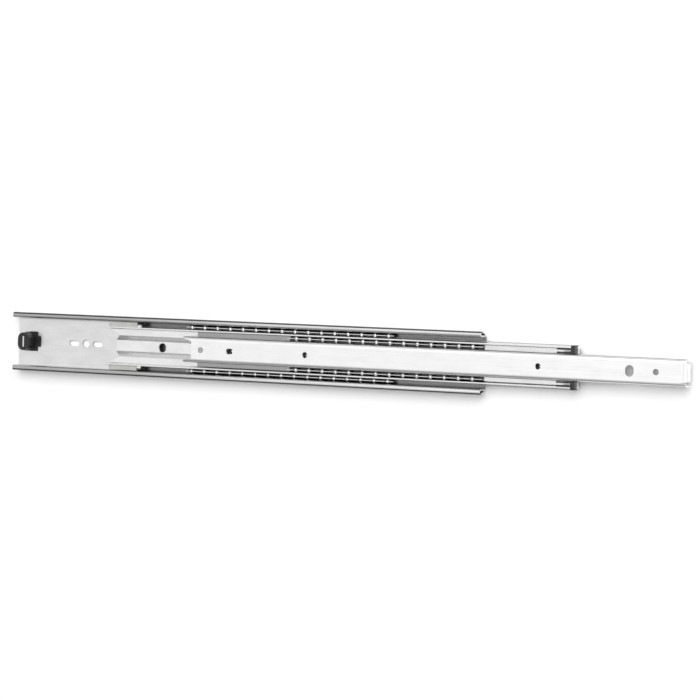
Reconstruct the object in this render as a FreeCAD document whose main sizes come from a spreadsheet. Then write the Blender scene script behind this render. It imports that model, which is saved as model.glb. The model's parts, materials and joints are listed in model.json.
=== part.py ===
import FreeCAD, Part
import math
import os
import Sketcher

# Full-extension ball-bearing drawer slide, lying on the back of its cabinet member.
# X runs along the slide with +X the way the drawer pulls out, Y runs across its height,
# and Z runs out of the mounting face towards the drawer. All sizes are in millimetres.
# Every member is modelled with its rear end at its own x = 0 and placed along X.

doc = FreeCAD.newDocument("drawer_slide")

# ---------------------------------------------------------------------------
# Driving dimensions
# ---------------------------------------------------------------------------

DIMENSIONS = [
    ("cabinet_length", 406.4, "cabinet member, end to end"),
    ("cabinet_height", 45.7, "cabinet member, across its flanges"),
    ("cabinet_depth", 10.4, "back face to the top of the flanges"),
    ("slide_thickness", 12.7, "back face to the face of the drawer member"),
    ("steel", 1.2, "sheet of the three members"),
    ("lip_fold", 4.16, "width of a folded-over cabinet flange"),
    ("lip_clear", 3.0, "back face to the lower edge of the return lip"),
    ("cabinet_bend", 6.35, "outside radius where the cabinet web meets a flange"),
    ("fold_bend", 2.0, "outside radius at the top of the folded flange"),
    ("fold_inner_bend", 0.8, "inside radius at the top of the folded flange"),
    ("edge_round", 0.35, "rounding of a cut sheet edge"),
    ("ball_diameter", 3.97, "steel balls"),
    ("race_depth", 0.25, "groove that a ball runs in"),
    ("race_clearance", 0.2, "ball surface to its groove"),
    ("outer_ball_level", 5.5, "back face to the centre of the outer balls"),
    ("inner_ball_level", 7.0, "back face to the centre of the inner balls"),
    ("ball_pitch", 11.19, "between ball stations"),
    ("cage_sheet", 0.5, "sheet of the two ball cages"),
    ("cage_gap", 0.35, "cage sheet to the sheet above or below it"),
    ("cage_rise", 1.3, "ball centre to the top edge of a cage strip"),
    ("pocket_clearance", 0.1, "ball surface to its pocket in the cage"),
    ("outer_cage_margin", 4.6, "last ball station to the end of the outer cage"),
    ("inner_cage_margin", 7.2, "last ball station to the end of the inner cage"),
    ("outer_cage_start", 157.7, "rear end of the cabinet member to the outer cage"),
    ("inner_cage_start", 159.1, "rear end of the intermediate member to the inner cage"),
    ("middle_length", 394.0, "intermediate member, end to end"),
    ("middle_start", 87.5, "rear end of the cabinet member to the intermediate member"),
    ("middle_depth", 10.3, "back face to the top of the intermediate flanges"),
    ("foot_reach", 1.2, "how far the foot of an intermediate flange stands out"),
    ("foot_rise", 0.8, "height of that foot above the web"),
    ("foot_bend", 1.1, "outside radius of that foot"),
    ("rib_rise", 3.8, "height of the intermediate rib above its web"),
    ("rib_gap", 0.55, "foot of the rib to the inside of the drawer flange"),
    ("rib_bend", 2.0, "rounding of the bends of the rib"),
    ("front_corner", 2.2, "corners cut off the front end of the intermediate web"),
    ("rear_notch", 7.7, "depth of the cut-out in the rear end of the intermediate web"),
    ("access_hole", 7.0, "screwdriver hole in the rib"),
    ("access_setback", 49.3, "rear end of the intermediate member to that hole"),
    ("drawer_length", 406.4, "drawer member, end to end"),
    ("drawer_start", 157.8, "rear end of the cabinet member to the drawer member"),
    ("drawer_notch", 7.7, "depth of the cut-out in the rear end of the drawer web"),
    ("drawer_bend", 3.0, "outside radius of the drawer member's bends"),
    ("guide_length", 25.2, "plastic guide in an outer ball channel"),
    ("guide_setback", 2.0, "rear end of the intermediate member to a guide"),
    ("guide_height", 1.6, "plastic guide, along Z"),
    ("guide_clearance", 0.4, "top of the outer balls to a guide"),
    ("slide_clearance", 0.2, "sliding face to sliding face"),
    ("guide_lug", 3.6, "steel lug in front of a guide, along X"),
    ("stop_lug", 1.2, "steel lug in front of a stop, along X"),
    ("stop_lug_level", 7.8, "back face to the top of that lug"),
    ("lug_reach", 2.6, "steel lug beside a guide, along Y"),
    ("stop_length", 14.0, "plastic stop in an inner ball channel"),
    ("stop_height", 1.6, "roof of a stop, along Z"),
    ("stop_block", 3.1, "solid end of a stop, along X"),
    ("stop_slot", 1.4, "slot in the roof of a stop, along Y"),
    ("stop_wrap", 1.0, "how far the solid end stands out past the flange"),
    ("bumper_length", 10.6, "rubber bumper, along X"),
    ("bumper_width", 13.9, "rubber bumper, along Y"),
    ("bumper_top", 10.0, "back face to the top of the bumper"),
    ("bumper_setback", 4.7, "rear end of the cabinet member to the bumper"),
    ("bumper_corner", 4.8, "corner radius of the bumper"),
    ("bumper_collar", 2.4, "back face to the top of the bumper's collar"),
    ("tab_setback", 9.6, "rear end of the cabinet member to the lanced tab"),
    ("tab_width", 15.2, "lanced tab at its shoulders"),
    ("tab_shoulder", 8.4, "back face to the shoulders of the lanced tab"),
    ("tab_tip_width", 8.2, "tip of the lanced tab"),
    ("tab_top", 10.5, "back face to the tip of the lanced tab"),
    ("lance_clearance", 0.15, "lanced tab to the edges of its opening"),
    ("lance_relief", 0.8, "end of the opening beyond the length of the tab"),
    ("lance_corner", 0.9, "corner radius of the opening"),
    ("bumper_foot", 1.0, "part of the bumper that fills the opening, along Z"),
    ("slot_width", 4.6, "screw slot in the cabinet web"),
    ("slot_length", 9.4, "screw slot in the cabinet web, overall"),
    ("system_hole", 6.4, "screw hole between two slots"),
    ("rear_group_setback", 62.9, "rear end of the cabinet member to the hole between the rear slots"),
    ("front_group_setback", 48.0, "front end of the cabinet member to the hole between the front slots"),
    ("slot_spacing", 10.85, "hole between two slots to each slot"),
    ("drawer_hole", 4.5, "round screw hole in the drawer member"),
    ("front_hole_setback", 22.0, "front end of the drawer member to the front hole"),
    ("level_slot_setback", 41.7, "front end to the slot that adjusts the height"),
    ("level_slot_width", 6.4, "height slot, along X"),
    ("level_slot_length", 8.2, "height slot, along Y"),
    ("middle_hole_setback", 111.5, "front end to the next hole"),
    ("rear_hole_setback", 300.3, "front end to the hole behind it"),
    ("depth_slot_setback", 365.0, "front end to the slot that adjusts the depth"),
    ("depth_slot_width", 4.2, "depth slot, along Y"),
    ("depth_slot_length", 6.2, "depth slot, along X"),
    ("last_hole_setback", 390.3, "front end to the last hole"),
    ("front_tab_inset", 0.15, "side of the front tab to the start of the web's bends"),
    ("front_tab_setback", 1.65, "front end of the drawer member to the face of the tab"),
    ("front_tab_level", 2.5, "back face to the lower edge of the tab"),
    ("front_tab_foot", 1.8, "foot of the tab in front of its face"),
    ("front_tab_relief", 0.4, "gap beside the tab"),
    ("front_tab_bend", 1.6, "outside radius of the tab's bends"),
]
OUTER_STATIONS = 16
INNER_STATIONS = 14

sheet = doc.addObject("Spreadsheet::Sheet", "Dims")
for row, (alias, size, meaning) in enumerate(DIMENSIONS, start=1):
    sheet.set(f"A{row}", alias)
    sheet.set(f"B{row}", str(size))
    sheet.set(f"C{row}", meaning)
    sheet.setAlias(f"B{row}", alias)
sheet.set(f"A{len(DIMENSIONS) + 1}", "outer_stations")
sheet.set(f"B{len(DIMENSIONS) + 1}", str(OUTER_STATIONS))
sheet.setAlias(f"B{len(DIMENSIONS) + 1}", "outer_stations")
sheet.set(f"A{len(DIMENSIONS) + 2}", "inner_stations")
sheet.set(f"B{len(DIMENSIONS) + 2}", str(INNER_STATIONS))
sheet.setAlias(f"B{len(DIMENSIONS) + 2}", "inner_stations")
doc.recompute()


def value(expression):
    """The number that an expression over the sheet gives now."""
    return float(sheet.evalExpression(expression))


# ---------------------------------------------------------------------------
# Sizes and places that several pieces share, as expressions over the sheet.
# Across the slide they run from the outside in, along Z from the back out.
# ---------------------------------------------------------------------------

BALL = "(Dims.ball_diameter / 2)"
RACE = f"({BALL} + Dims.race_clearance)"
POCKET = f"({BALL} + Dims.pocket_clearance)"
RACE_REACH = f"({RACE} - Dims.race_depth)"
HALF_SHEET = "(Dims.cage_sheet / 2)"

CABINET_HALF = "(Dims.cabinet_height / 2)"
CABINET_INSIDE = f"({CABINET_HALF} - Dims.steel)"
LIP_INNER = f"({CABINET_HALF} - Dims.lip_fold)"
LIP_OUTER = f"({LIP_INNER} + Dims.steel)"
OUTER_BALL_Y = f"({LIP_INNER} - {RACE_REACH})"
WALL_OUTER = f"({OUTER_BALL_Y} - {RACE_REACH})"
WALL_INNER = f"({WALL_OUTER} - Dims.steel)"
INNER_BALL_Y = f"({WALL_INNER} - {RACE_REACH})"
DRAWER_HALF = f"({INNER_BALL_Y} - {RACE_REACH})"
DRAWER_INSIDE = f"({DRAWER_HALF} - Dims.steel)"
RIB_FOOT = f"({DRAWER_INSIDE} - Dims.rib_gap)"
RIB_HALF = f"({RIB_FOOT} - Dims.rib_rise)"

OUTER_CAGE_Z = "(Dims.steel + Dims.cage_gap)"
MIDDLE_BACK = f"({OUTER_CAGE_Z} + Dims.cage_sheet + Dims.cage_gap)"
MIDDLE_WEB = f"({MIDDLE_BACK} + Dims.steel)"
RIB_TOP = f"({MIDDLE_WEB} + Dims.rib_rise)"
INNER_CAGE_Z = f"({MIDDLE_WEB} + Dims.cage_gap)"
DRAWER_EDGE = f"({INNER_CAGE_Z} + Dims.cage_sheet + Dims.cage_gap)"
DRAWER_WEB = "(Dims.slide_thickness - Dims.steel)"
OUTER_BALL_TOP = f"(Dims.outer_ball_level + {BALL})"
INNER_BALL_TOP = f"(Dims.inner_ball_level + {BALL})"
GUIDE_Z = f"({OUTER_BALL_TOP} + Dims.guide_clearance)"
STOP_Z = f"({INNER_BALL_TOP} + Dims.guide_clearance)"
STOP_FOOT = f"({MIDDLE_WEB} + Dims.foot_bend)"

REAR = "(-Dims.cabinet_length / 2)"
MIDDLE_X = f"({REAR} + Dims.middle_start)"
DRAWER_X = f"({REAR} + Dims.drawer_start)"
OUTER_CAGE_X = f"({REAR} + Dims.outer_cage_start)"
INNER_CAGE_X = f"({MIDDLE_X} + Dims.inner_cage_start)"
OUTER_ROW = "((Dims.outer_stations - 1) * Dims.ball_pitch)"
INNER_ROW = "((Dims.inner_stations - 1) * Dims.ball_pitch)"
TAB_FRONT = "(Dims.tab_setback + Dims.steel)"


# ---------------------------------------------------------------------------
# Sketch and feature helpers
# ---------------------------------------------------------------------------

def new_body(label, x_place):
    """A body for one sub-part, with its rear end placed along X."""
    body = doc.addObject("PartDesign::Body", label)
    body.setExpression("Placement.Base.x", x_place)
    return body


def sketch_on(body, role, offset=None):
    """A sketch on one of the body's own origin planes, moved along its normal."""
    plane = next(item for item in body.Origin.OriginFeatures if item.Role == role)
    sketch = body.newObject("Sketcher::SketchObject", f"{body.Label}_sketch")
    sketch.AttachmentSupport = (plane, "")
    sketch.MapMode = "FlatFace"
    if offset:
        sketch.setExpression("AttachmentOffset.Base.z", offset)
    return sketch


def hold(sketch, geometry, point, place):
    """Tie a point of the sketch to its place, which two expressions give."""
    for kind, axis, expression in (("DistanceX", -2, place[0]), ("DistanceY", -1, place[1])):
        size = value(expression)
        if abs(size) < 1e-9:
            sketch.addConstraint(Sketcher.Constraint("PointOnObject", geometry, point, axis))
        else:
            index = sketch.addConstraint(Sketcher.Constraint(kind, -1, 1, geometry, point, size))
            sketch.setExpression(f"Constraints[{index}]", expression)


def outline(sketch, corners):
    """A closed outline of straight lines through corners given as pairs of expressions."""
    points = [FreeCAD.Vector(value(u), value(v), 0) for u, v in corners]
    lines = []
    for start, end in zip(points, points[1:] + points[:1]):
        lines.append(sketch.addGeometry(Part.LineSegment(start, end)))
    for line, following in zip(lines, lines[1:] + lines[:1]):
        sketch.addConstraint(Sketcher.Constraint("Coincident", line, 2, following, 1))
    for line, corner in zip(lines, corners):
        hold(sketch, line, 1, corner)


def channel(sketch, half):
    """A symmetric section: the corners of its +Y half and their mirror images."""
    outline(sketch, half + [(f"-({u})", v) for u, v in reversed(half)])


def circle(sketch, place, diameter):
    """A circle at a place, both given as expressions."""
    centre = FreeCAD.Vector(value(place[0]), value(place[1]), 0)
    normal = FreeCAD.Vector(0, 0, 1)
    ring = sketch.addGeometry(Part.Circle(centre, normal, value(diameter) / 2))
    hold(sketch, ring, 3, place)
    index = sketch.addConstraint(Sketcher.Constraint("Diameter", ring, value(diameter)))
    sketch.setExpression(f"Constraints[{index}]", diameter)


def slot(sketch, place, length, width, along):
    """A slot with round ends: its overall length runs along 'x' or 'y' of the sketch."""
    reach = f"(({length} - {width}) / 2)"
    radius = value(width) / 2
    middle = FreeCAD.Vector(value(place[0]), value(place[1]), 0)
    step = FreeCAD.Vector(value(reach), 0, 0) if along == "x" else FreeCAD.Vector(0, value(reach), 0)
    turn = 0 if along == "x" else math.pi / 2
    normal = FreeCAD.Vector(0, 0, 1)
    far_arc = Part.ArcOfCircle(Part.Circle(middle + step, normal, radius),
                               turn - math.pi / 2, turn + math.pi / 2)
    near_arc = Part.ArcOfCircle(Part.Circle(middle - step, normal, radius),
                                turn + math.pi / 2, turn + 3 * math.pi / 2)
    far_end = sketch.addGeometry(far_arc)
    first_side = sketch.addGeometry(Part.LineSegment(far_arc.EndPoint, near_arc.StartPoint))
    near_end = sketch.addGeometry(near_arc)
    second_side = sketch.addGeometry(Part.LineSegment(near_arc.EndPoint, far_arc.StartPoint))
    ring = [far_end, first_side, near_end, second_side]
    for piece, following in zip(ring, ring[1:] + ring[:1]):
        sketch.addConstraint(Sketcher.Constraint("Tangent", piece, 2, following, 1))
    for end, sign in ((far_end, "+"), (near_end, "-")):
        if along == "x":
            hold(sketch, end, 3, (f"{place[0]} {sign} {reach}", place[1]))
        else:
            hold(sketch, end, 3, (place[0], f"{place[1]} {sign} {reach}"))
    index = sketch.addConstraint(Sketcher.Constraint("Radius", far_end, radius))
    sketch.setExpression(f"Constraints[{index}]", f"{width} / 2")


def pad(body, sketch, length, symmetric=False):
    """Add material along the sketch's normal, or to both sides of its plane."""
    feature = body.newObject("PartDesign::Pad", f"{body.Label}_pad")
    feature.Profile = sketch
    feature.setExpression("Length", length)
    feature.Midplane = symmetric
    sketch.Visibility = False
    doc.recompute()
    return feature


def pocket(body, sketch, length=None, reverse=False):
    """Cut along the sketch's normal, all the way through unless a length is given."""
    before = body.Tip.Shape.Volume
    feature = body.newObject("PartDesign::Pocket", f"{body.Label}_pocket")
    feature.Profile = sketch
    feature.Reversed = reverse
    if length:
        feature.setExpression("Length", length)
    else:
        feature.Type = "ThroughAll"
    sketch.Visibility = False
    doc.recompute()
    if not feature.Shape.Volume < before:
        raise RuntimeError(f"{feature.Label} removed nothing")
    return feature


def round_edges(body, axis, places, radius):
    """Round the straight edges that run along an axis through the given places."""
    base = body.Tip
    other = [index for index in range(3) if index != "XYZ".index(axis)]
    targets = [(value(first), value(second)) for first, second in places]
    names = []
    for number, edge in enumerate(base.Shape.Edges, start=1):
        ends = [vertex.Point for vertex in edge.Vertexes]
        if len(ends) != 2 or not isinstance(edge.Curve, Part.Line):
            continue
        for target in targets:
            if all(abs(end[other[side]] - target[side]) < 1e-4 for end in ends for side in (0, 1)):
                names.append(f"Edge{number}")
    if not names:
        raise RuntimeError(f"{body.Label} has no edge to round")
    feature = body.newObject("PartDesign::Fillet", f"{body.Label}_round")
    feature.Base = (base, names)
    feature.setExpression("Radius", radius)
    doc.recompute()
    return feature


def both(places):
    """Places on the +Y side and their mirror images, for edges that run along X."""
    return places + [(f"-({u})", v) for u, v in places]


def cut_races(body, y_place, level):
    """Cut the two grooves that a pair of ball rows runs in, along the whole member."""
    sketch = sketch_on(body, "YZ_Plane")
    for side in both([(y_place, level)]):
        circle(sketch, side, f"2 * {RACE}")
    pocket(body, sketch, reverse=True)


# ---------------------------------------------------------------------------
# Cabinet member and its bumper
# ---------------------------------------------------------------------------

def make_cabinet_member():
    """The wide channel: its flanges fold over and carry the outer races."""
    body = new_body("cabinet_member", REAR)
    section = sketch_on(body, "YZ_Plane")
    fold_under = "(Dims.cabinet_depth - Dims.steel)"
    channel(section, [
        (CABINET_HALF, "0"),
        (CABINET_HALF, "Dims.cabinet_depth"),
        (LIP_INNER, "Dims.cabinet_depth"),
        (LIP_INNER, "Dims.lip_clear"),
        (LIP_OUTER, "Dims.lip_clear"),
        (LIP_OUTER, fold_under),
        (CABINET_INSIDE, fold_under),
        (CABINET_INSIDE, "Dims.steel"),
    ])
    pad(body, section, "Dims.cabinet_length")
    round_edges(body, "X", both([(CABINET_HALF, "0")]), "Dims.cabinet_bend")
    round_edges(body, "X", both([(CABINET_INSIDE, "Dims.steel")]), "Dims.cabinet_bend - Dims.steel")
    round_edges(body, "X", both([(CABINET_HALF, "Dims.cabinet_depth"),
                                 (LIP_INNER, "Dims.cabinet_depth")]), "Dims.fold_bend")
    fold_gap = "(Dims.lip_fold - 2 * Dims.steel)"
    round_edges(body, "X", both([(LIP_OUTER, fold_under), (CABINET_INSIDE, fold_under)]),
                f"min(Dims.fold_inner_bend; 0.46 * {fold_gap})")
    round_edges(body, "X", both([(LIP_INNER, "Dims.lip_clear"),
                                 (LIP_OUTER, "Dims.lip_clear")]), "Dims.edge_round")
    cut_races(body, OUTER_BALL_Y, "Dims.outer_ball_level")
    add_lanced_tab(body)
    drill_cabinet_web(body)
    return body


def add_lanced_tab(body):
    """The tab bent up out of the web, and the lobed opening it leaves."""
    shoulder = "(Dims.tab_width / 2)"
    tip = "(Dims.tab_tip_width / 2)"
    tab = sketch_on(body, "YZ_Plane", "Dims.tab_setback")
    channel(tab, [
        (shoulder, "0"),
        (shoulder, "Dims.tab_shoulder"),
        (tip, "Dims.tab_shoulder"),
        (tip, "Dims.tab_top"),
    ])
    pad(body, tab, "Dims.steel")

    opening = sketch_on(body, "XY_Plane")
    corners = outline_opening(opening, TAB_FRONT, "0")
    pocket(body, opening, "Dims.steel", reverse=True)
    round_edges(body, "Z", corners, "Dims.lance_corner")


def outline_opening(sketch, tab_front, inset):
    """The lobed opening in front of the lanced tab, or a plug that fits it with an inset."""
    half = f"(Dims.tab_width / 2 + Dims.lance_clearance - {inset})"
    lobe_half = f"(Dims.tab_tip_width / 2 + Dims.lance_clearance - {inset})"
    rear = f"({tab_front} + {inset})"
    front = f"({tab_front} + Dims.tab_shoulder - Dims.steel - {inset})"
    tip = f"({tab_front} + Dims.tab_top - Dims.steel + Dims.lance_relief - {inset})"
    outline(sketch, [
        (rear, f"-{half}"),
        (front, f"-{half}"),
        (front, f"-{lobe_half}"),
        (tip, f"-{lobe_half}"),
        (tip, lobe_half),
        (front, lobe_half),
        (front, half),
        (rear, half),
    ])
    return [(front, half), (front, f"-{half}"), (tip, lobe_half), (tip, f"-{lobe_half}")]


def drill_cabinet_web(body):
    """A round hole between two slots, near each end of the web."""
    sketch = sketch_on(body, "XY_Plane")
    rear_group = "Dims.rear_group_setback"
    front_group = "(Dims.cabinet_length - Dims.front_group_setback)"
    for group in (rear_group, front_group):
        circle(sketch, (group, "0"), "Dims.system_hole")
        for sign in ("-", "+"):
            place = (f"({group} {sign} Dims.slot_spacing)", "0")
            slot(sketch, place, "Dims.slot_length", "Dims.slot_width", "x")
    pocket(body, sketch, "Dims.steel", reverse=True)


def make_rear_bumper():
    """The rubber block pushed over the lanced tab, cut away in front of one shoulder."""
    body = new_body("rear_bumper", f"{REAR} + Dims.bumper_setback")
    half = "(Dims.bumper_width / 2)"
    front = "Dims.bumper_length"
    plan = sketch_on(body, "XY_Plane", "Dims.steel")
    outline(plan, [("0", f"-{half}"), (front, f"-{half}"), (front, half), ("0", half)])
    pad(body, plan, "Dims.bumper_top - Dims.steel")
    corners = [("0", half), ("0", f"-{half}"), (front, half), (front, f"-{half}")]
    round_edges(body, "Z", corners, "Dims.bumper_corner")

    tab_rear = "(Dims.tab_setback - Dims.bumper_setback)"
    tab_front = f"({tab_rear} + Dims.steel)"
    foot = sketch_on(body, "XY_Plane", "Dims.steel - Dims.bumper_foot")
    foot_corners = outline_opening(foot, tab_front, "Dims.lance_clearance")
    pad(body, foot, "Dims.bumper_foot")
    round_edges(body, "Z", foot_corners, "Dims.lance_corner")
    shoulder = "(Dims.tab_width / 2)"
    tip = "(Dims.tab_tip_width / 2)"
    slit = sketch_on(body, "YZ_Plane", tab_rear)
    channel(slit, [
        (shoulder, "0"),
        (shoulder, "Dims.tab_shoulder"),
        (tip, "Dims.tab_shoulder"),
        (tip, "Dims.tab_top"),
    ])
    pocket(body, slit, "Dims.steel", reverse=True)

    cutaway = sketch_on(body, "XY_Plane", "Dims.bumper_collar")
    outline(cutaway, [(tab_front, "-Dims.bumper_width"), (f"(2 * {front})", "-Dims.bumper_width"),
                      (f"(2 * {front})", f"-{half} / 4 + {front} - {tab_front}"),
                      (tab_front, f"-{half} * 3 / 4")])
    pocket(body, cutaway, reverse=True)
    return body


# ---------------------------------------------------------------------------
# Ball cages and balls
# ---------------------------------------------------------------------------

def cut_ball_pockets(body, margin, strip_centre, level, row_length, stations):
    """One pocket in each strip at the first station, repeated along the cage."""
    cuts = []
    for offset, reverse in ((f"({strip_centre} + Dims.cage_sheet)", False),
                            (f"-({strip_centre} + Dims.cage_sheet)", True)):
        sketch = sketch_on(body, "XZ_Plane", offset)
        circle(sketch, (margin, level), f"2 * {POCKET}")
        cuts.append(pocket(body, sketch, "2 * Dims.cage_sheet", reverse))
    pattern = body.newObject("PartDesign::LinearPattern", f"{body.Label}_pockets")
    pattern.Originals = cuts
    pattern.Direction = (cuts[0].Profile[0], ["H_Axis"])
    pattern.setExpression("Length", row_length)
    pattern.setExpression("Occurrences", stations)
    body.Tip = pattern
    doc.recompute()


def make_outer_cage():
    """A shallow channel: its base lies between the two webs, its edges hold the balls."""
    body = new_body("outer_cage", OUTER_CAGE_X)
    outside = f"({OUTER_BALL_Y} + {HALF_SHEET})"
    inside = f"({OUTER_BALL_Y} - {HALF_SHEET})"
    top = "(Dims.outer_ball_level + Dims.cage_rise)"
    section = sketch_on(body, "YZ_Plane")
    channel(section, [
        (outside, OUTER_CAGE_Z),
        (outside, top),
        (inside, top),
        (inside, f"({OUTER_CAGE_Z} + Dims.cage_sheet)"),
    ])
    pad(body, section, f"{OUTER_ROW} + 2 * Dims.outer_cage_margin")
    cut_ball_pockets(body, "Dims.outer_cage_margin", OUTER_BALL_Y, "Dims.outer_ball_level",
                     OUTER_ROW, "Dims.outer_stations")
    return body


def make_inner_cage():
    """The same, with its base stepped over the rib of the intermediate member."""
    body = new_body("inner_cage", INNER_CAGE_X)
    outside = f"({INNER_BALL_Y} + {HALF_SHEET})"
    inside = f"({INNER_BALL_Y} - {HALF_SHEET})"
    top = "(Dims.inner_ball_level + Dims.cage_rise)"
    bend = math.tan(math.radians(22.5))
    under_foot = f"({RIB_FOOT} + {bend:.4f} * Dims.cage_gap)"
    under_rib = f"({RIB_HALF} + {bend:.4f} * Dims.cage_gap)"
    over_foot = f"({under_foot} + {bend:.4f} * Dims.cage_sheet)"
    over_rib = f"({under_rib} + {bend:.4f} * Dims.cage_sheet)"
    rib_under_z = f"({RIB_TOP} + Dims.cage_gap)"
    section = sketch_on(body, "YZ_Plane")
    channel(section, [
        (under_rib, rib_under_z),
        (under_foot, INNER_CAGE_Z),
        (outside, INNER_CAGE_Z),
        (outside, top),
        (inside, top),
        (inside, f"({INNER_CAGE_Z} + Dims.cage_sheet)"),
        (over_foot, f"({INNER_CAGE_Z} + Dims.cage_sheet)"),
        (over_rib, f"({rib_under_z} + Dims.cage_sheet)"),
    ])
    pad(body, section, f"{INNER_ROW} + 2 * Dims.inner_cage_margin")
    cut_ball_pockets(body, "Dims.inner_cage_margin", INNER_BALL_Y, "Dims.inner_ball_level",
                     INNER_ROW, "Dims.inner_stations")
    return body


def make_ball_pair(label, station, first_x, y_place, level):
    """The upper and lower ball of one station of a cage."""
    balls = []
    for side, sign in (("upper", ""), ("lower", "-")):
        ball = doc.addObject("Part::Sphere", f"{label}_{side}")
        ball.setExpression("Radius", BALL)
        ball.setExpression("Placement.Base.x", f"{first_x} + {station} * Dims.ball_pitch")
        ball.setExpression("Placement.Base.y", f"{sign}{y_place}")
        ball.setExpression("Placement.Base.z", level)
        balls.append(ball)
    pair = doc.addObject("Part::Compound", label)
    pair.Links = balls
    return pair


def make_balls():
    """Every ball pair of both cages."""
    pairs = []
    for station in range(OUTER_STATIONS):
        pairs.append(make_ball_pair(f"outer_balls_{station + 1:02d}", station,
                                    f"{OUTER_CAGE_X} + Dims.outer_cage_margin",
                                    OUTER_BALL_Y, "Dims.outer_ball_level"))
    for station in range(INNER_STATIONS):
        pairs.append(make_ball_pair(f"inner_balls_{station + 1:02d}", station,
                                    f"{INNER_CAGE_X} + Dims.inner_cage_margin",
                                    INNER_BALL_Y, "Dims.inner_ball_level"))
    return pairs


# ---------------------------------------------------------------------------
# Intermediate member and its plastic pieces
# ---------------------------------------------------------------------------

def make_intermediate_member():
    """The middle channel: a raised rib, and flanges with a race on either side."""
    body = new_body("intermediate_member", MIDDLE_X)
    foot_out = f"({WALL_OUTER} + Dims.foot_reach)"
    bend = math.tan(math.radians(22.5))
    rib_foot_back = f"({RIB_FOOT} - {bend:.4f} * Dims.steel)"
    rib_half_back = f"({RIB_HALF} - {bend:.4f} * Dims.steel)"
    section = sketch_on(body, "YZ_Plane")
    channel(section, [
        (rib_half_back, f"({RIB_TOP} - Dims.steel)"),
        (rib_foot_back, MIDDLE_BACK),
        (foot_out, MIDDLE_BACK),
        (foot_out, MIDDLE_WEB),
        (WALL_OUTER, f"({MIDDLE_WEB} + Dims.foot_rise)"),
        (WALL_OUTER, "Dims.middle_depth"),
        (WALL_INNER, "Dims.middle_depth"),
        (WALL_INNER, MIDDLE_WEB),
        (RIB_FOOT, MIDDLE_WEB),
        (RIB_HALF, RIB_TOP),
    ])
    pad(body, section, "Dims.middle_length")
    round_edges(body, "X", both([(RIB_HALF, RIB_TOP), (RIB_FOOT, MIDDLE_WEB)]), "Dims.rib_bend")
    round_edges(body, "X", both([(foot_out, MIDDLE_BACK)]), "Dims.foot_bend")
    round_edges(body, "X", both([(WALL_INNER, MIDDLE_WEB)]), "Dims.foot_bend")
    round_edges(body, "X", both([(WALL_OUTER, "Dims.middle_depth"),
                                 (WALL_INNER, "Dims.middle_depth")]), "Dims.edge_round")
    cut_races(body, OUTER_BALL_Y, "Dims.outer_ball_level")
    cut_races(body, INNER_BALL_Y, "Dims.inner_ball_level")

    notch = sketch_on(body, "XY_Plane")
    notch_mouth = f"({WALL_INNER} - Dims.rib_gap)"
    notch_root = f"({RIB_FOOT} + Dims.rib_gap)"
    outline(notch, [("-Dims.steel", f"-{notch_mouth}"), ("Dims.rear_notch", f"-{notch_root}"),
                    ("Dims.rear_notch", notch_root), ("-Dims.steel", notch_mouth)])
    pocket(body, notch, reverse=True)

    access = sketch_on(body, "XY_Plane")
    circle(access, ("Dims.access_setback", "0"), "Dims.access_hole")
    pocket(body, access, reverse=True)
    shape_front_end(body, foot_out)
    add_lugs(body)
    return body


def shape_front_end(body, foot_out):
    """Cut the front corners, and cut the flanges back for the solid ends of the stops."""
    front = "Dims.middle_length"
    beyond = f"({front} + Dims.steel)"
    outside = f"({foot_out} + Dims.steel)"
    corners = sketch_on(body, "XY_Plane")
    for sign in ("", "-"):
        outline(corners, [(f"({front} - Dims.front_corner - Dims.steel)", f"{sign}{outside}"),
                          (beyond, f"{sign}{outside}"),
                          (beyond, f"{sign}({foot_out} - Dims.front_corner - Dims.steel)")])
    pocket(body, corners, reverse=True)

    inside = f"({WALL_INNER} - Dims.race_depth)"
    block_front = f"({front} - Dims.stop_lug)"
    block_rear = f"({block_front} - Dims.stop_block - Dims.slide_clearance)"
    for level, rear, end in ((STOP_FOOT, block_rear, block_front),
                             ("Dims.stop_lug_level", block_front, beyond)):
        cut = sketch_on(body, "XY_Plane", level)
        for sign in ("", "-"):
            outline(cut, [(rear, f"{sign}{inside}"), (end, f"{sign}{inside}"),
                          (end, f"{sign}{outside}"), (rear, f"{sign}{outside}")])
        pocket(body, cut, reverse=True)


def add_lugs(body):
    """Steel lugs: one in front of each rear guide, one at the end of each front stop."""
    guide_lug = sketch_on(body, "YZ_Plane", "Dims.guide_setback + Dims.guide_length")
    lug_out = f"({WALL_OUTER} + Dims.lug_reach)"
    lug_root = f"({WALL_OUTER} - Dims.steel / 2)"
    lug_top = f"({GUIDE_Z} + Dims.steel)"
    for sign in ("", "-"):
        outline(guide_lug, [(f"{sign}{lug_root}", GUIDE_Z), (f"{sign}{lug_out}", GUIDE_Z),
                            (f"{sign}{lug_out}", lug_top), (f"{sign}{lug_root}", lug_top)])
    pad(body, guide_lug, "Dims.guide_lug")

    stop_lug = sketch_on(body, "YZ_Plane", "Dims.middle_length - Dims.stop_lug")
    lug_in = f"({DRAWER_HALF} + Dims.slide_clearance)"
    lug_root = f"({WALL_INNER} + Dims.steel / 2)"
    lug_top = "Dims.stop_lug_level"
    for sign in ("", "-"):
        outline(stop_lug, [(f"{sign}{lug_in}", DRAWER_EDGE), (f"{sign}{lug_root}", DRAWER_EDGE),
                           (f"{sign}{lug_root}", lug_top), (f"{sign}{lug_in}", lug_top)])
    pad(body, stop_lug, "Dims.stop_lug")


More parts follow.
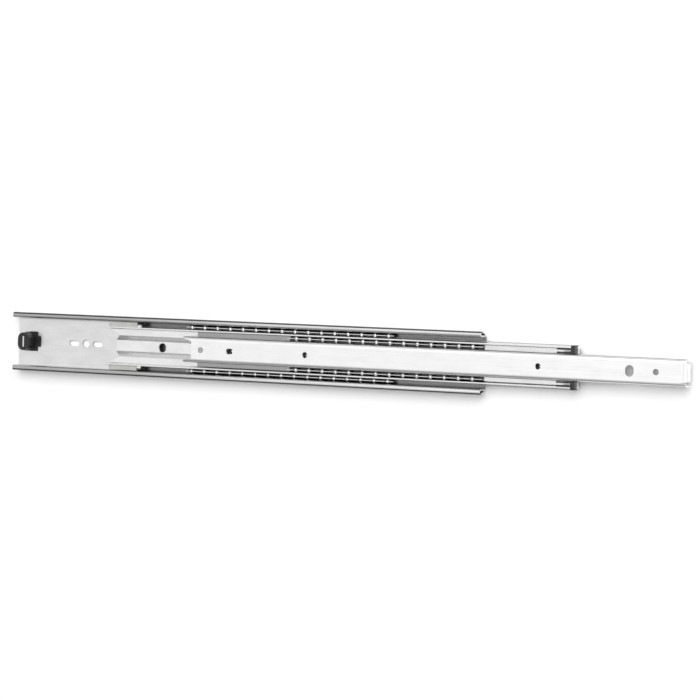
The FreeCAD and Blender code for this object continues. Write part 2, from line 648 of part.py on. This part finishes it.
def make_rear_guide(label, sign):
    """A plastic block on the outside of the flange, above the balls and their cage."""
    body = new_body(label, f"{MIDDLE_X} + Dims.guide_setback")
    guide_out = f"({LIP_INNER} - Dims.slide_clearance)"
    guide_top = f"({GUIDE_Z} + Dims.guide_height)"
    section = sketch_on(body, "YZ_Plane")
    outline(section, [(f"{sign}{WALL_OUTER}", GUIDE_Z), (f"{sign}{guide_out}", GUIDE_Z),
                      (f"{sign}{guide_out}", guide_top), (f"{sign}{WALL_OUTER}", guide_top)])
    pad(body, section, "Dims.guide_length")
    round_edges(body, "X", [(f"{sign}{guide_out}", guide_top)], "Dims.edge_round")
    return body


def make_front_stop(label, sign):
    """A slotted plastic roof over the inner ball channel, with a solid end round the flange."""
    body = new_body(label, f"{MIDDLE_X} + Dims.middle_length - Dims.stop_lug - Dims.stop_length")
    stop_in = f"({DRAWER_HALF} + Dims.slide_clearance)"
    roof_top = f"({STOP_Z} + Dims.stop_height)"
    roof = sketch_on(body, "YZ_Plane")
    outline(roof, [(f"{sign}{stop_in}", STOP_Z), (f"{sign}{WALL_INNER}", STOP_Z),
                   (f"{sign}{WALL_INNER}", roof_top), (f"{sign}{stop_in}", roof_top)])
    pad(body, roof, "Dims.stop_length")
    slit = sketch_on(body, "XY_Plane", STOP_Z)
    slit_middle = f"(({stop_in} + {WALL_INNER}) / 2)"
    slit_rear = "(-Dims.stop_block)"
    slit_front = "(Dims.stop_length - Dims.stop_block)"
    outline(slit, [(slit_rear, f"{sign}({slit_middle} - Dims.stop_slot / 2)"),
                   (slit_front, f"{sign}({slit_middle} - Dims.stop_slot / 2)"),
                   (slit_front, f"{sign}({slit_middle} + Dims.stop_slot / 2)"),
                   (slit_rear, f"{sign}({slit_middle} + Dims.stop_slot / 2)")])
    pocket(body, slit, reverse=True)

    block = sketch_on(body, "YZ_Plane", "Dims.stop_length - Dims.stop_block")
    block_out = f"({WALL_OUTER} + Dims.stop_wrap)"
    block_foot = f"({STOP_FOOT} + Dims.slide_clearance)"
    outline(block, [(f"{sign}{stop_in}", block_foot), (f"{sign}{block_out}", block_foot),
                    (f"{sign}{block_out}", roof_top), (f"{sign}{stop_in}", roof_top)])
    pad(body, block, "Dims.stop_block")
    return body


# ---------------------------------------------------------------------------
# Drawer member
# ---------------------------------------------------------------------------

def make_drawer_member():
    """The narrow channel that the drawer is screwed to."""
    body = new_body("drawer_member", DRAWER_X)
    section = sketch_on(body, "YZ_Plane")
    channel(section, [
        (DRAWER_INSIDE, DRAWER_WEB),
        (DRAWER_INSIDE, DRAWER_EDGE),
        (DRAWER_HALF, DRAWER_EDGE),
        (DRAWER_HALF, "Dims.slide_thickness"),
    ])
    pad(body, section, "Dims.drawer_length")
    round_edges(body, "X", both([(DRAWER_HALF, "Dims.slide_thickness")]), "Dims.drawer_bend")
    round_edges(body, "X", both([(DRAWER_INSIDE, DRAWER_WEB)]), "Dims.drawer_bend - Dims.steel")
    round_edges(body, "X", both([(DRAWER_INSIDE, DRAWER_EDGE),
                                 (DRAWER_HALF, DRAWER_EDGE)]), "Dims.edge_round")
    cut_races(body, INNER_BALL_Y, "Dims.inner_ball_level")
    notch_rear_web(body)
    drill_drawer_web(body)
    add_front_tab(body)
    return body


def notch_rear_web(body):
    """A cut-out in the rear end of the web that leaves the two flanges standing out."""
    sketch = sketch_on(body, "XY_Plane", f"({DRAWER_WEB} - Dims.drawer_bend)")
    root_half = f"({DRAWER_INSIDE} - Dims.drawer_bend + Dims.steel)"
    outline(sketch, [("-Dims.steel", f"-{DRAWER_INSIDE}"), ("Dims.drawer_notch", f"-{root_half}"),
                     ("Dims.drawer_notch", root_half), ("-Dims.steel", DRAWER_INSIDE)])
    pocket(body, sketch, reverse=True)


def from_front(setback):
    """A place along the drawer member, measured back from its front end."""
    return f"(Dims.drawer_length - Dims.{setback})"


def drill_drawer_web(body):
    """Four round screw holes and the two slots that adjust height and depth."""
    sketch = sketch_on(body, "XY_Plane", DRAWER_WEB)
    for setback in ("front_hole_setback", "middle_hole_setback", "rear_hole_setback",
                    "last_hole_setback"):
        circle(sketch, (from_front(setback), "0"), "Dims.drawer_hole")
    slot(sketch, (from_front("level_slot_setback"), "0"),
         "Dims.level_slot_length", "Dims.level_slot_width", "y")
    slot(sketch, (from_front("depth_slot_setback"), "0"),
         "Dims.depth_slot_length", "Dims.depth_slot_width", "x")
    pocket(body, sketch, "Dims.steel", reverse=True)


def add_front_tab(body):
    """The middle of the web, bent down at the front end and out again into a small foot."""
    tab_half = f"({DRAWER_INSIDE} - Dims.drawer_bend + Dims.steel - Dims.front_tab_inset)"
    face = from_front("front_tab_setback")
    back = f"({face} - Dims.steel)"
    bend_start = f"({face} - Dims.front_tab_bend)"
    relief_start = f"({bend_start} - Dims.front_tab_relief)"
    foot_front = f"({face} + Dims.front_tab_foot)"
    foot_top = "(Dims.front_tab_level + Dims.steel)"
    relief_half = f"({tab_half} + Dims.front_tab_relief)"
    beyond = "(Dims.drawer_length + Dims.steel)"

    relief = sketch_on(body, "XY_Plane", f"({DRAWER_WEB} - Dims.steel)")
    outline(relief, [(relief_start, f"-{relief_half}"), (beyond, f"-{relief_half}"),
                     (beyond, relief_half), (relief_start, relief_half)])
    pocket(body, relief, reverse=True)

    root = f"({relief_start} - Dims.steel)"
    profile = sketch_on(body, "XZ_Plane")
    outline(profile, [
        (root, "Dims.slide_thickness"),
        (face, "Dims.slide_thickness"),
        (face, foot_top),
        (foot_front, foot_top),
        (foot_front, "Dims.front_tab_level"),
        (back, "Dims.front_tab_level"),
        (back, DRAWER_WEB),
        (root, DRAWER_WEB),
    ])
    pad(body, profile, f"2 * {tab_half}", symmetric=True)
    round_edges(body, "Y", [(face, "Dims.slide_thickness"), (back, "Dims.front_tab_level")],
                "Dims.front_tab_bend")
    round_edges(body, "Y", [(face, foot_top), (back, DRAWER_WEB)],
                "Dims.front_tab_bend - Dims.steel")


# ---------------------------------------------------------------------------
# The assembly
# ---------------------------------------------------------------------------

nodes = [
    make_cabinet_member(),
    make_rear_bumper(),
    make_outer_cage(),
    make_intermediate_member(),
    make_rear_guide("rear_guide_upper", ""),
    make_rear_guide("rear_guide_lower", "-"),
    make_front_stop("front_stop_upper", ""),
    make_front_stop("front_stop_lower", "-"),
    make_inner_cage(),
    make_drawer_member(),
]
nodes += make_balls()
doc.recompute()

for item in doc.Objects:
    if "Invalid" in item.State or "Error" in item.State:
        raise RuntimeError(f"{item.Label} did not recompute: {item.State}")

os.makedirs("parts", exist_ok=True)
for node in nodes:
    if node.Shape.isNull() or not node.Shape.isValid():
        raise RuntimeError(f"{node.Label} has no valid shape")
    node.Shape.exportStep(f"parts/{node.Label}.step")
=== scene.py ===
"""A full-extension drawer slide lying on its back, half pulled out, on a pale studio floor."""

import json

import bpy
from mathutils import Matrix, Vector


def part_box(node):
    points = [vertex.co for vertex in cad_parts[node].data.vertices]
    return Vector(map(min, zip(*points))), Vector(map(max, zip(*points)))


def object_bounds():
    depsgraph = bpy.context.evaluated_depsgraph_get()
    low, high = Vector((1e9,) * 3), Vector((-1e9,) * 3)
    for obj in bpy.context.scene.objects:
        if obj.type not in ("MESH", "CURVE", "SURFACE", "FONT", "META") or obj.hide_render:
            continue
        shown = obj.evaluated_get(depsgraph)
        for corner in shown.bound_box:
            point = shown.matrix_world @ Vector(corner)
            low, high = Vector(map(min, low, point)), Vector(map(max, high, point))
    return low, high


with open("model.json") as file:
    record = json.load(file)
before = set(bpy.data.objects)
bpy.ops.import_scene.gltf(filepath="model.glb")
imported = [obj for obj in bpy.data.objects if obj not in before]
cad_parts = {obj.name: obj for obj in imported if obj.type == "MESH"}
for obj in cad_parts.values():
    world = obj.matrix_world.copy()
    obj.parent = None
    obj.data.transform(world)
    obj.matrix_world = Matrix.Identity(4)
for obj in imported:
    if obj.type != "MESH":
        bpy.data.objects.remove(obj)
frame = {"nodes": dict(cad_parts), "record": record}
cad_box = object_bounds()
nodes = frame["nodes"]
scene = bpy.context.scene


# ---------------------------------------------------------------------------
# Node trees
# ---------------------------------------------------------------------------

class Tree:
    """A node tree, with short calls for the nodes used here."""

    def __init__(self, tree):
        self.tree = tree

    def add(self, kind, **settings):
        node = self.tree.nodes.new(kind)
        for key, value in settings.items():
            setattr(node, key, value)
        return node

    def link(self, source, target):
        self.tree.links.new(source, target)

    def axes(self, kind):
        """The X, Y and Z of a texture coordinate, such as Object or Generated."""
        coordinates = self.add("ShaderNodeTexCoord")
        split = self.add("ShaderNodeSeparateXYZ")
        self.link(coordinates.outputs[kind], split.inputs["Vector"])
        return split.outputs

    def step(self, value, low, high, start, end, interpolation="SMOOTHSTEP"):
        """A value turned into start at low and end at high, and held outside them."""
        node = self.add("ShaderNodeMapRange", interpolation_type=interpolation)
        settings = {"From Min": low, "From Max": high, "To Min": start, "To Max": end}
        for socket, number in settings.items():
            node.inputs[socket].default_value = number
        self.link(value, node.inputs["Value"])
        return node.outputs["Result"]

    def times(self, first, second):
        node = self.add("ShaderNodeMath", operation="MULTIPLY")
        self.link(first, node.inputs[0])
        self.link(second, node.inputs[1])
        return node.outputs["Value"]

    def absolute(self, value):
        node = self.add("ShaderNodeMath", operation="ABSOLUTE")
        self.link(value, node.inputs[0])
        return node.outputs["Value"]


class Surface(Tree):
    """A new material and its node tree."""

    # most noise lies between these two values
    NOISE_LOW = 0.3
    NOISE_HIGH = 0.7

    def __init__(self, name):
        self.material = bpy.data.materials.new(name)
        self.material.use_nodes = True
        super().__init__(self.material.node_tree)
        self.shader = self.tree.nodes["Principled BSDF"]

    def noise(self, scale, detail=4.0):
        """Noise with a given number of cells to the metre along X, Y and Z."""
        coordinates = self.add("ShaderNodeTexCoord")
        mapping = self.add("ShaderNodeMapping")
        mapping.inputs["Scale"].default_value = scale
        self.link(coordinates.outputs["Object"], mapping.inputs["Vector"])
        texture = self.add("ShaderNodeTexNoise")
        texture.inputs["Scale"].default_value = 1.0
        texture.inputs["Detail"].default_value = detail
        texture.inputs["Roughness"].default_value = 0.55
        self.link(mapping.outputs["Vector"], texture.inputs["Vector"])
        return texture.outputs["Fac"]

    def spread(self, noise, low, high):
        """Noise spread evenly from low to high."""
        return self.step(noise, self.NOISE_LOW, self.NOISE_HIGH, low, high, "LINEAR")

    def colour(self, noise, dark, light):
        """Noise turned into a colour between a dark and a light one."""
        node = self.add("ShaderNodeValToRGB")
        ends = zip(node.color_ramp.elements, (self.NOISE_LOW, self.NOISE_HIGH), (dark, light))
        for element, position, tint in ends:
            element.position = position
            element.color = (*tint, 1)
        self.link(noise, node.inputs["Fac"])
        return node.outputs["Color"]

    def bump(self, noise, distance, below=None):
        """Bump from noise, over another bump if there is one; the distance is in metres."""
        node = self.add("ShaderNodeBump")
        node.inputs["Distance"].default_value = distance
        node.inputs["Strength"].default_value = 1.0
        self.link(noise, node.inputs["Height"])
        if below:
            self.link(below, node.inputs["Normal"])
        return node.outputs["Normal"]

    def within(self, axis, low, high, softness):
        """One inside a reach along X or Z, or out from the middle along Y, and nothing outside."""
        value = self.axes("Object")[axis]
        if axis == "Y":
            value = self.absolute(value)
        return self.times(self.step(value, low - softness, low + softness, 0, 1),
                          self.step(value, high - softness, high + softness, 1, 0))

    def darkened_by_painted_shade(self, tone, bands_of_painted_shade):
        """A tone darkened by painted shade and painted dark reflections wherever each band lies.
        """
        for depth, reaches in bands_of_painted_shade:
            first, *others = (self.within(axis, *reach) for axis, reach in reaches.items())
            for other in others:
                first = self.times(first, other)
            tone = self.times(tone, self.step(first, 0, 1, 1, depth))
        return tone


# ---------------------------------------------------------------------------
# Materials
# ---------------------------------------------------------------------------

def zinc(name, dark, light, roughness, bands_of_painted_shade=()):
    """Bright zinc plate over roll-formed steel: faint streaks along X and a soft mottle, darkened
    by painted shade and painted dark reflections in the given bands.
    """
    made = Surface(name)
    mottle = made.noise((60, 160, 160), detail=5)
    streaks = made.noise((6, 1500, 1500), detail=3)
    made.shader.inputs["Metallic"].default_value = 1.0
    tone = made.darkened_by_painted_shade(made.spread(mottle, dark, light), bands_of_painted_shade)
    made.link(tone, made.shader.inputs["Base Color"])
    made.link(made.spread(streaks, roughness * 0.8, roughness * 1.25),
              made.shader.inputs["Roughness"])
    drawn = made.bump(streaks, 0.000012)
    made.link(made.bump(mottle, 0.00002, below=drawn), made.shader.inputs["Normal"])
    return made.material


def polished_steel(name):
    """Hardened steel balls, with the faint haze of oil."""
    made = Surface(name)
    haze = made.noise((900, 900, 900), detail=2)
    made.shader.inputs["Metallic"].default_value = 1.0
    made.link(made.colour(haze, (0.50, 0.50, 0.51), (0.60, 0.60, 0.61)),
              made.shader.inputs["Base Color"])
    made.link(made.spread(haze, 0.07, 0.14), made.shader.inputs["Roughness"])
    return made.material


def moulded(name, dark, light, roughness, grain):
    """Moulded plastic or rubber, with a fine grain of so many cells to the metre."""
    made = Surface(name)
    cloud = made.noise((250, 250, 250), detail=3)
    pitting = made.noise((grain, grain, grain), detail=2)
    made.link(made.colour(cloud, dark, light), made.shader.inputs["Base Color"])
    made.link(made.spread(pitting, roughness * 0.85, roughness * 1.15),
              made.shader.inputs["Roughness"])
    made.link(made.bump(pitting, 0.00003), made.shader.inputs["Normal"])
    return made.material


# ---------------------------------------------------------------------------
# Painted shade in the ball races and holes, and painted dark reflections along the outer corners
# of the flanges
# ---------------------------------------------------------------------------

BEYOND = 1.0  # metres, past any side of the slide
CRISP = 0.0002
SOFT = 0.0005
CORNER_SOFTNESS = 0.0008


def painted_shade_band(depth, along=None, out=None, up=None):
    """How dark a band of painted shade leaves the steel, from 0 for black to 1 for none, and its
    reach.

    The reach is along X, out from the middle along Y and up along Z. Each is a lowest
    place, a highest place and the softness of both ends, in metres.
    """
    reaches = {"X": along, "Y": out, "Z": up}
    return depth, {axis: reach for axis, reach in reaches.items() if reach}


def reach_along(node):
    """A node's rear and front end."""
    low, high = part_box(node)
    return low.x, high.x


def corner_painted_reflection(depth, node, width, height):
    """A painted dark reflection along the outer upper corners of a member."""
    side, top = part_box(node)[1].yz
    return painted_shade_band(depth, out=(side - width, BEYOND, CRISP),
                up=(top - height, BEYOND, CORNER_SOFTNESS))


outer_cage = reach_along("outer_cage")
inner_cage = reach_along("inner_cage")
lug_front = reach_along("rear_guide_upper")[1] + 0.003
drawer_rear = reach_along("drawer_member")[0] + 0.008
below_flange_top = (-BEYOND, 0.0085, 0.0004)
inner_race = {"out": (0.0098, 0.0134, SOFT), "up": (-BEYOND, 0.0095, SOFT)}

cabinet_painted_shade = [
    # painted shade in the outer races in front of the guides, and darker painted shade between the
    # balls where the cage runs
    painted_shade_band(0.35, along=(lug_front, BEYOND, SOFT), out=(0.0155, 0.0189, 0.0004),
         up=below_flange_top),
    painted_shade_band(0.3, along=(*outer_cage, 0.004), out=(0.0150, 0.0189, 0.0004), up=below_flange_top),
    # painted dark reflection along the outer upper corners
    corner_painted_reflection(0.15, "cabinet_member", 0.0012, 0.0035),
    # painted dark reflection on the tops of the flanges, darker towards the rear
    painted_shade_band(0.6, along=(-BEYOND, -0.03, 0.12), out=(0.0186, BEYOND, SOFT),
         up=(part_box("cabinet_member")[1].z - 0.0035, BEYOND, CORNER_SOFTNESS)),
    # painted shade on the walls of the holes in the web
    painted_shade_band(0.12, out=(-BEYOND, 0.015, 0.001), up=(0.0002, 0.0009, 0.0001)),
]
intermediate_painted_shade = [
    # painted dark reflection along the outer upper corners
    corner_painted_reflection(0.2, "intermediate_member", 0.0010, 0.0035),
    # painted shade in the inner races behind the cage, and far darker painted shade between the
    # balls where it runs
    painted_shade_band(0.45, along=(drawer_rear, inner_cage[0], SOFT), **inner_race),
    painted_shade_band(0.06, along=(*inner_cage, SOFT), **inner_race),
]
drawer_side, drawer_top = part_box("drawer_member")[1].yz
# painted dark reflection along the drawer member's outer upper corners
drawer_painted_shade = [
    painted_shade_band(0.3, out=(drawer_side - 0.0005, BEYOND, CRISP),
         up=(drawer_top - 0.0025, BEYOND, SOFT)),
]
# painted shade on the cages below their top edges, so only the top edges stay bright
cage_painted_shade = [painted_shade_band(0.08, up=(-BEYOND, 0.0055, 0.0004))]

finishes = {
    "cabinet_steel": zinc("cabinet_steel", 0.70, 0.78, 0.27, cabinet_painted_shade),
    "intermediate_steel": zinc("intermediate_steel", 0.80, 0.88, 0.24, intermediate_painted_shade),
    "drawer_steel": zinc("drawer_steel", 0.88, 0.94, 0.30, drawer_painted_shade),
    "cage_steel": zinc("cage_steel", 0.66, 0.76, 0.30, cage_painted_shade),
    "ball_steel": polished_steel("ball_steel"),
    "bumper_rubber": moulded("bumper_rubber", (0.004,) * 3, (0.009,) * 3, 0.5, 3500),
    "guide_nylon": moulded("guide_nylon", (0.36, 0.36, 0.35), (0.44, 0.44, 0.43), 0.42, 4500),
    "stop_plastic": moulded("stop_plastic", (0.008,) * 3, (0.016,) * 3, 0.38, 4500),
}
for part in frame["record"]["subparts"]:
    mesh = nodes[part["node"]].data
    mesh.materials.clear()
    mesh.materials.append(finishes[part["material_slot"]])


# ---------------------------------------------------------------------------
# Studio: a pale floor, one large soft light and a sky that is bright overhead
# ---------------------------------------------------------------------------

def make_floor():
    """A wide pale floor just under the slide."""
    bpy.ops.mesh.primitive_plane_add(size=8, location=(0, 0, cad_box[0].z - 0.0002))
    floor = bpy.context.object
    floor.name = "floor"
    made = Surface("floor_paint")
    made.link(made.colour(made.noise((3, 3, 3)), (0.88,) * 3, (0.91,) * 3),
              made.shader.inputs["Base Color"])
    made.shader.inputs["Roughness"].default_value = 0.8
    made.shader.inputs["Specular IOR Level"].default_value = 0.1
    floor.data.materials.append(made.material)


def make_key_light():
    """A large square light, high up on the side of the upper flanges."""
    data = bpy.data.lights.new("key", "AREA")
    data.shape = "SQUARE"
    data.size = 2.2
    data.energy = 40
    light = bpy.data.objects.new("key", data)
    light.location = (0.6, 1.2, 1.9)
    aim = Vector((0.08, 0, 0)) - light.location
    light.rotation_euler = aim.to_track_quat("-Z", "Y").to_euler()
    scene.collection.objects.link(light)


def make_sky():
    """A sky bright overhead, and dimmer at the horizon and on the side of the lower flanges."""
    world = bpy.data.worlds.new("studio")
    world.use_nodes = True
    scene.world = world
    sky = Tree(world.node_tree)
    _, across, upward = sky.axes("Generated")
    overhead = sky.step(upward, 0.10, 0.50, 0.55, 1.0)
    lower_side = sky.step(across, -0.80, -0.20, 0.30, 1.0)
    upper_side = sky.step(across, 0.70, 0.95, 1.0, 0.6)
    background = world.node_tree.nodes["Background"]
    sky.link(sky.times(overhead, sky.times(lower_side, upper_side)), background.inputs["Color"])
    background.inputs["Strength"].default_value = 0.95


def make_camera():
    """A long lens above the slide, in front of its pulled-out end."""
    data = bpy.data.cameras.new("camera")
    data.lens = 139.47
    data.sensor_width = 36
    data.clip_end = 20
    camera = bpy.data.objects.new("camera", data)
    right = Vector((0.88396, 0.02257, -0.46701)).normalized()
    forward = Vector((-0.46571, -0.04619, -0.88373)).normalized()
    up = right.cross(forward)
    turn = Matrix((right, up, -forward)).transposed()
    camera.matrix_world = Matrix.Translation((1.0276, 0.0975, 1.7754)) @ turn.to_4x4()
    scene.collection.objects.link(camera)
    scene.camera = camera


make_floor()
make_sky()
make_key_light()
make_camera()
scene.view_settings.view_transform = "Standard"
